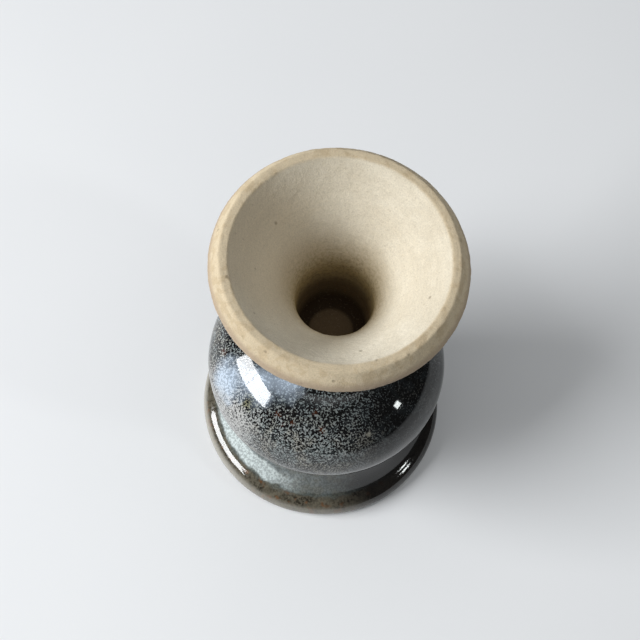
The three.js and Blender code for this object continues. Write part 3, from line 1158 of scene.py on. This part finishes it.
def neck_colour(tree, place, around):
    """Blue-grey, banded on the window's side: grey-brown, then a dark line, then pale by the lip."""
    grain = use(tree, crystals, Place=place, Size=0.7, Cover=0.5, Softness=0.1, Run=1.6)
    drift = use(tree, clouds, Place=place, Size=7.0, Level=0.5, Softness=0.15, Detail=3.0, Warp=0.6)
    green = use(tree, clouds, Place=place, Size=3.0, Level=0.5, Softness=0.12, Detail=3.0)
    base = mixed(tree, drift["Mask"], colour(0.075, 0.088, 0.084), colour(0.12, 0.136, 0.13))
    base = tinted(tree, base, green["Mask"], (0.10, 0.098, 0.076), share=0.6)
    side = patch_mask(tree, place, pot_spot(-145, 38, 12), reach=25.0, edge=9.0, ragged=4.0, grain=5.0)
    radius = wandering(tree, place, around["Radius"], 5.0, 3.0)
    for inner, outer, strength, tint in NECK_BANDS:
        rising = shift_range(tree, radius, inner - 0.4, inner + 0.6)
        falling = shift_range(tree, radius, outer + 0.5, outer - 0.5)
        band = product(tree, product(tree, rising, falling), side)
        base = tinted(tree, base, band, tint, share=strength)
    return mixed(tree, 1.0, base, times_plus(tree, grain["Mask"], 0.5, 0.75), "MULTIPLY")


def painted_shade_far_side(tree, place, base):
    """Painted shade: the neck and lip are painted almost black on the side away from the window."""
    black = patch_mask(tree, place, pot_spot(-22, 38, 10), reach=31.0, edge=9.0, ragged=5.0, grain=5.0)
    return tinted(tree, base, black, (0.006, 0.005, 0.005), share=0.93)


def liner_glaze_material():
    """Grey-green glaze inside the bowl, quiet and glossy."""
    material, tree, shader, place = new_material("liner glaze", CLEAR_GLAZE)
    fine = use(tree, crystals, Place=place, Size=0.6, Cover=0.42, Softness=0.1, Run=1.5)
    drift = use(tree, clouds, Place=place, Size=9.0, Level=0.5, Softness=0.15, Detail=3.0, Warp=0.4)
    lines = use(tree, throwing_lines, Place=place, Spacing=2.5, Wander=0.03)
    base = mixed(tree, drift["Mask"], colour(0.13, 0.165, 0.155), colour(0.20, 0.24, 0.23))
    base = tinted(tree, base, fine["Mask"], (0.32, 0.35, 0.33), share=0.4)
    finish_surface(tree, shader, base, rough_between(tree, drift["Tone"], 0.06, 0.14))
    bump(tree, shader, lines["Tone"], 0.05)
    return material


# ---- the set (metres and degrees) ----

CAMERA_ELEVATION = 68.324  # above the floor
CAMERA_ROLL = 6.909
CAMERA_DISTANCE = 0.56657  # to the middle of the vase
CAMERA_ACROSS = -0.002942
CAMERA_UP = 0.006186
CAMERA_AIM_HEIGHT = 0.062057
LENS = 101.25
SENSOR_WIDTH = 36.0

FLOOR_RADIUS = 4.0
LIGHT_AIM_HEIGHT = 0.05
DAYLIGHT = (0.97, 0.985, 1.0)

WINDOW_TURN = -160.0  # about the vase, from +X
WINDOW_TILT = 17.5
WINDOW_DISTANCE = 1.0
WINDOW_ACROSS = -0.085
WINDOW_RISE = 0.64
WINDOW_WIDTH = 0.80
WINDOW_HEIGHT = 0.455
WINDOW_BAR = 0.008  # the dark upright between the panes
WINDOW_RADIANCE = 18.5

LAMP_TURN = -18.0
LAMP_ELEVATION = 23.5
LAMP_DISTANCE = 1.0
LAMP_WIDTH = 0.095
LAMP_HEIGHT = 0.155
LAMP_RADIANCE = 22.0
LAMP_TINT = (0.95, 1.0, 0.99)

ROOM_RADIANCE = 0.045
OVERHEAD_FROM = 0.82  # how far up a direction points where the light from above begins
OVERHEAD_FULL = 0.95
OVERHEAD_RADIANCE_BEHIND = 1.2
OVERHEAD_RADIANCE_IN_FRONT = 1.4
BACKDROP_RADIANCE = 0.72

UPRIGHT = Vector((0, 0, 1))


def put(thing, place, across, up, back):
    """Stands a camera or a light at a place, turned by its three directions, in the scene."""
    turn = Matrix((across, up, back)).transposed().to_4x4()
    thing.matrix_world = Matrix.Translation(place) @ turn
    bpy.context.scene.collection.objects.link(thing)


def make_camera():
    elevation = math.radians(CAMERA_ELEVATION)
    roll = math.radians(CAMERA_ROLL)
    level = Vector((1, 0, 0))
    rising = Vector((0, math.sin(elevation), math.cos(elevation)))
    back = Vector((0, -math.cos(elevation), math.sin(elevation)))
    across = level * math.cos(roll) + rising * math.sin(roll)
    up = rising * math.cos(roll) - level * math.sin(roll)
    aim = Vector((0, 0, CAMERA_AIM_HEIGHT))
    data = bpy.data.cameras.new("camera")
    data.lens = LENS
    data.sensor_width = SENSOR_WIDTH
    camera = bpy.data.objects.new("camera", data)
    put(camera, aim + back * CAMERA_DISTANCE + across * CAMERA_ACROSS + up * CAMERA_UP, across, up, back)
    bpy.context.scene.camera = camera


def floor_material():
    """Plain pale matte paint with a hardly visible drift."""
    material, tree, shader, place = new_material("pale floor", FLAT_PAINT)
    drift = use(tree, clouds, Place=place, Size=120.0, Level=0.5, Softness=0.25, Detail=2.0)
    base = mixed(tree, drift["Mask"], colour(0.80, 0.808, 0.818), colour(0.815, 0.823, 0.831))
    finish_surface(tree, shader, base, rough_between(tree, drift["Tone"], 0.8, 0.9))
    return material


def make_floor():
    turn = np.linspace(0, 2 * math.pi, 96, endpoint=False)
    ring = [(FLOOR_RADIUS * math.cos(a), FLOOR_RADIUS * math.sin(a), 0.0) for a in turn]
    mesh = bpy.data.meshes.new("floor")
    mesh.from_pydata(ring, [], [tuple(range(len(ring)))])
    mesh.materials.append(floor_material())
    floor = bpy.data.objects.new("floor", mesh)
    bpy.context.scene.collection.objects.link(floor)


def area_light(name, place, across, up, width, height, radiance, tint):
    """A flat light that shines along the cross product of up and across, unseen by the camera."""
    data = bpy.data.lights.new(name, "AREA")
    data.shape = "RECTANGLE"
    data.size = width
    data.size_y = height
    data.energy = radiance * width * height * math.pi
    data.color = tint
    light = bpy.data.objects.new(name, data)
    light.visible_camera = False
    put(light, place, across, up, across.cross(up))


def make_window():
    """Two panes with a thin bar between them, at the vase's left and tilted a little in their wall."""
    turn = math.radians(WINDOW_TURN)
    tilt = math.radians(WINDOW_TILT)
    out = Vector((math.cos(turn), math.sin(turn), 0))
    level = Vector((-math.sin(turn), math.cos(turn), 0))
    across = level * math.cos(tilt) + UPRIGHT * math.sin(tilt)
    up = UPRIGHT * math.cos(tilt) - level * math.sin(tilt)
    centre = (out + level * WINDOW_ACROSS + UPRIGHT * WINDOW_RISE) * WINDOW_DISTANCE
    centre.z += LIGHT_AIM_HEIGHT
    width = (WINDOW_WIDTH - WINDOW_BAR) / 2
    for name, side in (("window_pane_left", -1), ("window_pane_right", 1)):
        place = centre + across * side * (width + WINDOW_BAR) / 2
        area_light(name, place, across, up, width, WINDOW_HEIGHT, WINDOW_RADIANCE, DAYLIGHT)


def make_lamp():
    """A small light on the other side of the vase, which faces it."""
    turn = math.radians(LAMP_TURN)
    rise = math.radians(LAMP_ELEVATION)
    out = Vector((math.cos(turn) * math.cos(rise), math.sin(turn) * math.cos(rise), math.sin(rise)))
    level = UPRIGHT.cross(out).normalized()
    place = UPRIGHT * LIGHT_AIM_HEIGHT + out * LAMP_DISTANCE
    area_light(
        "small_lamp", place, level, out.cross(level), LAMP_WIDTH, LAMP_HEIGHT, LAMP_RADIANCE, LAMP_TINT
    )


def make_room():
    """A dim room with soft light from overhead, seen as a pale backdrop by the camera."""
    world = bpy.data.worlds.new("room")
    world.use_nodes = True
    tree = world.node_tree
    tree.nodes.clear()
    direction = tree.nodes.new("ShaderNodeTexCoord").outputs["Generated"]
    parts = add(tree, "ShaderNodeSeparateXYZ", {0: direction}).outputs
    radiance = shift_range(
        tree, parts[1], 0.6, -0.6, OVERHEAD_RADIANCE_BEHIND, OVERHEAD_RADIANCE_IN_FRONT
    )
    overhead = shift_range(tree, parts[2], OVERHEAD_FROM, OVERHEAD_FULL)
    lit = times_plus(tree, overhead, radiance, ROOM_RADIANCE)
    seen = tree.nodes.new("ShaderNodeLightPath").outputs["Is Camera Ray"]
    shown = blended(tree, seen, lit, BACKDROP_RADIANCE)
    background = add(tree, "ShaderNodeBackground", {"Color": colour(*DAYLIGHT), "Strength": shown})
    add(tree, "ShaderNodeOutputWorld", {0: background.outputs[0]})
    bpy.context.scene.world = world


def set_colours():
    view = bpy.context.scene.view_settings
    view.view_transform = "Standard"
    view.look = "None"


make_camera()
set_colours()
make_room()
make_floor()
make_window()
make_lamp()

make_foot(bare_clay_material())
make_slip_joint(joint_slip_material())
make_bowl(bowl_clay_material())
make_coats(
    (
        liner_glaze_material(),
        lip_glaze_material(),
        neck_glaze_material(),
        speckled_glaze_material(),
    )
)
